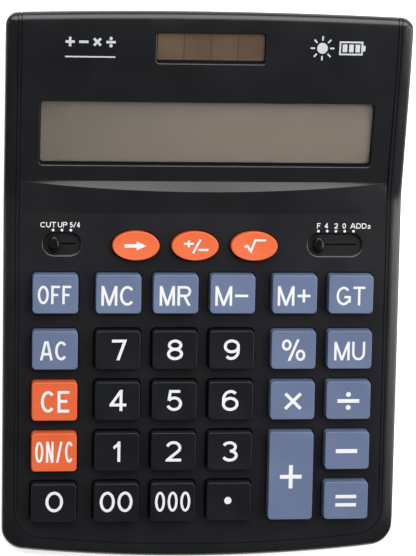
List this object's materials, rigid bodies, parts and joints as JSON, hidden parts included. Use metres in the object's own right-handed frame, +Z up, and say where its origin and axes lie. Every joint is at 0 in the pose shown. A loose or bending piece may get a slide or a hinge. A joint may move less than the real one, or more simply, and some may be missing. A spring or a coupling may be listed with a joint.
{
  "type": "desk calculator",
  "caption": "Wedge-shaped desk calculator with a sloping display, solar window, sprung keys, two slide switches and a sliding battery door.",
  "frame": {"origin": "centre of the body in plan, on the surface it stands on, under the rubber feet", "axes": "+X to the user's right, +Y from the user towards the display, +Z up"},
  "size_m": [0.15, 0.206, 0.0407],
  "materials": {
    "case_black": "fine satin moulded ABS, near black",
    "base_black": "fine spark texture",
    "key_pale_blue": "satin, slightly dished",
    "key_blue": "satin, slightly dished",
    "key_orange": "satin",
    "key_black": "satin, slightly dished",
    "knob": "satin",
    "window_clear": "clear acrylic",
    "lcd_glass": "grey-taupe reflective polariser",
    "solar": "brown amorphous silicon",
    "holder_white": "natural ABS",
    "holder_dark": "ABS",
    "ribbon": "amber flexible circuit",
    "board_green": "solder mask",
    "epoxy": "cast epoxy",
    "capacitor": "sleeved can",
    "silicone": "translucent silicone",
    "cell_wrap": "plain printed sleeve",
    "plated_steel": "nickel plate",
    "spring_brass": "plated strip",
    "lead_red": "insulated wire",
    "lead_black": "insulated wire",
    "screw_steel": "zinc plate",
    "foot_rubber": "soft rubber",
    "legend_white": "white printed legends",
    "label": "blank foil label"
  },
  "bodies": {
    "housing": {"top_case": "case_black", "bottom_case": "base_black", "display_window": "window_clear", "lcd_panel": "lcd_glass", "lcd_holder": "holder_white", "lcd_ribbon": "ribbon", "solar_cell": "solar", "solar_bracket": "holder_dark", "main_board": "board_green", "controller_chip": "epoxy", "board_capacitors": "capacitor", "key_mat": "silicone", "battery_cell": "cell_wrap", "battery_spring": "plated_steel", "battery_plate": "plated_steel", "solar_leads": "lead_red", "battery_leads": "lead_black", "case_screws": "screw_steel", "board_screws": "screw_steel", "rubber_feet": "foot_rubber", "rating_label": "label"},
    "key_off": {"key_off": "key_pale_blue"},
    "key_mc": {"key_mc": "key_pale_blue"},
    "key_mr": {"key_mr": "key_pale_blue"},
    "key_m_minus": {"key_m_minus": "key_pale_blue"},
    "key_m_plus": {"key_m_plus": "key_pale_blue"},
    "key_gt": {"key_gt": "key_pale_blue"},
    "key_ac": {"key_ac": "key_blue"},
    "key_7": {"key_7": "key_black"},
    "key_8": {"key_8": "key_black"},
    "key_9": {"key_9": "key_black"},
    "key_percent": {"key_percent": "key_blue"},
    "key_mu": {"key_mu": "key_blue"},
    "key_ce": {"key_ce": "key_orange"},
    "key_4": {"key_4": "key_black"},
    "key_5": {"key_5": "key_black"},
    "key_6": {"key_6": "key_black"},
    "key_multiply": {"key_multiply": "key_blue"},
    "key_divide": {"key_divide": "key_blue"},
    "key_on_c": {"key_on_c": "key_orange"},
    "key_1": {"key_1": "key_black"},
    "key_2": {"key_2": "key_black"},
    "key_3": {"key_3": "key_black"},
    "key_plus": {"key_plus": "key_blue"},
    "key_minus": {"key_minus": "key_blue"},
    "key_0": {"key_0": "key_black"},
    "key_00": {"key_00": "key_black"},
    "key_000": {"key_000": "key_black"},
    "key_point": {"key_point": "key_black"},
    "key_equals": {"key_equals": "key_blue"},
    "key_shift": {"key_shift": "key_orange"},
    "key_sign": {"key_sign": "key_orange"},
    "key_root": {"key_root": "key_orange"},
    "rounding_switch": {"rounding_knob": "knob", "rounding_wiper": "spring_brass"},
    "decimal_switch": {"decimal_knob": "knob", "decimal_wiper": "spring_brass"},
    "battery_door": {"battery_door": "base_black"}
  },
  "joints": [
    {"name": "press_off", "type": "slide", "parent": "housing", "child": "key_off", "axis": [0, 0.0698, -0.9976], "range_m": [0, 0.0018], "stiffness_N_per_m": 350, "springref_m": -0.0015, "deforming": ["key_mat"]},
    {"name": "press_mc", "type": "slide", "parent": "housing", "child": "key_mc", "axis": [0, 0.0698, -0.9976], "range_m": [0, 0.0018], "stiffness_N_per_m": 350, "springref_m": -0.0015, "deforming": ["key_mat"]},
    {"name": "press_mr", "type": "slide", "parent": "housing", "child": "key_mr", "axis": [0, 0.0698, -0.9976], "range_m": [0, 0.0018], "stiffness_N_per_m": 350, "springref_m": -0.0015, "deforming": ["key_mat"]},
    {"name": "press_m_minus", "type": "slide", "parent": "housing", "child": "key_m_minus", "axis": [0, 0.0698, -0.9976], "range_m": [0, 0.0018], "stiffness_N_per_m": 350, "springref_m": -0.0015, "deforming": ["key_mat"]},
    {"name": "press_m_plus", "type": "slide", "parent": "housing", "child": "key_m_plus", "axis": [0, 0.0698, -0.9976], "range_m": [0, 0.0018], "stiffness_N_per_m": 350, "springref_m": -0.0015, "deforming": ["key_mat"]},
    {"name": "press_gt", "type": "slide", "parent": "housing", "child": "key_gt", "axis": [0, 0.0698, -0.9976], "range_m": [0, 0.0018], "stiffness_N_per_m": 350, "springref_m": -0.0015, "deforming": ["key_mat"]},
    {"name": "press_ac", "type": "slide", "parent": "housing", "child": "key_ac", "axis": [0, 0.0698, -0.9976], "range_m": [0, 0.0018], "stiffness_N_per_m": 350, "springref_m": -0.0015, "deforming": ["key_mat"]},
    {"name": "press_7", "type": "slide", "parent": "housing", "child": "key_7", "axis": [0, 0.0698, -0.9976], "range_m": [0, 0.0018], "stiffness_N_per_m": 350, "springref_m": -0.0015, "deforming": ["key_mat"]},
    {"name": "press_8", "type": "slide", "parent": "housing", "child": "key_8", "axis": [0, 0.0698, -0.9976], "range_m": [0, 0.0018], "stiffness_N_per_m": 350, "springref_m": -0.0015, "deforming": ["key_mat"]},
    {"name": "press_9", "type": "slide", "parent": "housing", "child": "key_9", "axis": [0, 0.0698, -0.9976], "range_m": [0, 0.0018], "stiffness_N_per_m": 350, "springref_m": -0.0015, "deforming": ["key_mat"]},
    {"name": "press_percent", "type": "slide", "parent": "housing", "child": "key_percent", "axis": [0, 0.0698, -0.9976], "range_m": [0, 0.0018], "stiffness_N_per_m": 350, "springref_m": -0.0015, "deforming": ["key_mat"]},
    {"name": "press_mu", "type": "slide", "parent": "housing", "child": "key_mu", "axis": [0, 0.0698, -0.9976], "range_m": [0, 0.0018], "stiffness_N_per_m": 350, "springref_m": -0.0015, "deforming": ["key_mat"]},
    {"name": "press_ce", "type": "slide", "parent": "housing", "child": "key_ce", "axis": [0, 0.0698, -0.9976], "range_m": [0, 0.0018], "stiffness_N_per_m": 350, "springref_m": -0.0015, "deforming": ["key_mat"]},
    {"name": "press_4", "type": "slide", "parent": "housing", "child": "key_4", "axis": [0, 0.0698, -0.9976], "range_m": [0, 0.0018], "stiffness_N_per_m": 350, "springref_m": -0.0015, "deforming": ["key_mat"]},
    {"name": "press_5", "type": "slide", "parent": "housing", "child": "key_5", "axis": [0, 0.0698, -0.9976], "range_m": [0, 0.0018], "stiffness_N_per_m": 350, "springref_m": -0.0015, "deforming": ["key_mat"]},
    {"name": "press_6", "type": "slide", "parent": "housing", "child": "key_6", "axis": [0, 0.0698, -0.9976], "range_m": [0, 0.0018], "stiffness_N_per_m": 350, "springref_m": -0.0015, "deforming": ["key_mat"]},
    {"name": "press_multiply", "type": "slide", "parent": "housing", "child": "key_multiply", "axis": [0, 0.0698, -0.9976], "range_m": [0, 0.0018], "stiffness_N_per_m": 350, "springref_m": -0.0015, "deforming": ["key_mat"]},
    {"name": "press_divide", "type": "slide", "parent": "housing", "child": "key_divide", "axis": [0, 0.0698, -0.9976], "range_m": [0, 0.0018], "stiffness_N_per_m": 350, "springref_m": -0.0015, "deforming": ["key_mat"]},
    {"name": "press_on_c", "type": "slide", "parent": "housing", "child": "key_on_c", "axis": [0, 0.0698, -0.9976], "range_m": [0, 0.0018], "stiffness_N_per_m": 350, "springref_m": -0.0015, "deforming": ["key_mat"]},
    {"name": "press_1", "type": "slide", "parent": "housing", "child": "key_1", "axis": [0, 0.0698, -0.9976], "range_m": [0, 0.0018], "stiffness_N_per_m": 350, "springref_m": -0.0015, "deforming": ["key_mat"]},
    {"name": "press_2", "type": "slide", "parent": "housing", "child": "key_2", "axis": [0, 0.0698, -0.9976], "range_m": [0, 0.0018], "stiffness_N_per_m": 350, "springref_m": -0.0015, "deforming": ["key_mat"]},
    {"name": "press_3", "type": "slide", "parent": "housing", "child": "key_3", "axis": [0, 0.0698, -0.9976], "range_m": [0, 0.0018], "stiffness_N_per_m": 350, "springref_m": -0.0015, "deforming": ["key_mat"]},
    {"name": "press_plus", "type": "slide", "parent": "housing", "child": "key_plus", "axis": [0, 0.0698, -0.9976], "range_m": [0, 0.0018], "stiffness_N_per_m": 350, "springref_m": -0.0015, "deforming": ["key_mat"]},
    {"name": "press_minus", "type": "slide", "parent": "housing", "child": "key_minus", "axis": [0, 0.0698, -0.9976], "range_m": [0, 0.0018], "stiffness_N_per_m": 350, "springref_m": -0.0015, "deforming": ["key_mat"]},
    {"name": "press_0", "type": "slide", "parent": "housing", "child": "key_0", "axis": [0, 0.0698, -0.9976], "range_m": [0, 0.0018], "stiffness_N_per_m": 350, "springref_m": -0.0015, "deforming": ["key_mat"]},
    {"name": "press_00", "type": "slide", "parent": "housing", "child": "key_00", "axis": [0, 0.0698, -0.9976], "range_m": [0, 0.0018], "stiffness_N_per_m": 350, "springref_m": -0.0015, "deforming": ["key_mat"]},
    {"name": "press_000", "type": "slide", "parent": "housing", "child": "key_000", "axis": [0, 0.0698, -0.9976], "range_m": [0, 0.0018], "stiffness_N_per_m": 350, "springref_m": -0.0015, "deforming": ["key_mat"]},
    {"name": "press_point", "type": "slide", "parent": "housing", "child": "key_point", "axis": [0, 0.0698, -0.9976], "range_m": [0, 0.0018], "stiffness_N_per_m": 350, "springref_m": -0.0015, "deforming": ["key_mat"]},
    {"name": "press_equals", "type": "slide", "parent": "housing", "child": "key_equals", "axis": [0, 0.0698, -0.9976], "range_m": [0, 0.0018], "stiffness_N_per_m": 350, "springref_m": -0.0015, "deforming": ["key_mat"]},
    {"name": "press_shift", "type": "slide", "parent": "housing", "child": "key_shift", "axis": [0, 0.0698, -0.9976], "range_m": [0, 0.0018], "stiffness_N_per_m": 350, "springref_m": -0.0015, "deforming": ["key_mat"]},
    {"name": "press_sign", "type": "slide", "parent": "housing", "child": "key_sign", "axis": [0, 0.0698, -0.9976], "range_m": [0, 0.0018], "stiffness_N_per_m": 350, "springref_m": -0.0015, "deforming": ["key_mat"]},
    {"name": "press_root", "type": "slide", "parent": "housing", "child": "key_root", "axis": [0, 0.0698, -0.9976], "range_m": [0, 0.0018], "stiffness_N_per_m": 350, "springref_m": -0.0015, "deforming": ["key_mat"]},
    {"name": "rounding_slide", "type": "slide", "parent": "housing", "child": "rounding_switch", "axis": [1, 0, 0], "range_m": [0, 0.0066]},
    {"name": "decimal_slide", "type": "slide", "parent": "housing", "child": "decimal_switch", "axis": [1, 0, 0], "range_m": [0, 0.0132]},
    {"name": "battery_door_slide", "type": "slide", "parent": "housing", "child": "battery_door", "axis": [0, 1, 0], "range_m": [0, 0.026]}
  ]
}
